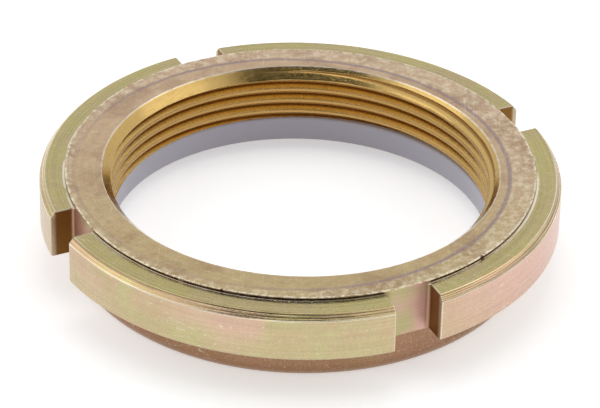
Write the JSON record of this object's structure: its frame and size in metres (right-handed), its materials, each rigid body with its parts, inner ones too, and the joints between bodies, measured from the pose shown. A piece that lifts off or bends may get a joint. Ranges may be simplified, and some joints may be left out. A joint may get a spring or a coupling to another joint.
{
  "type": "self-locking slotted round nut",
  "caption": "Slotted round nut for a hook spanner, zinc plated and yellow passivated, with a plastic locking ring crimped into the collar under its thread.",
  "frame": {"origin": "on the thread's axis, in the plane of the rolled rim that the nut stands on", "axes": "+Z along the thread's axis, from the rolled rim towards the bearing land; +X and +Y each run through the middle of a spanner slot"},
  "size_m": [0.0796, 0.0796, 0.0148],
  "materials": {
    "zinc_plated_steel": "satin, zinc plated and yellow passivated",
    "white_plastic": "satin"
  },
  "bodies": {
    "root": {"nut_body": "zinc_plated_steel", "locking_ring": "white_plastic"}
  },
  "joints": []
}
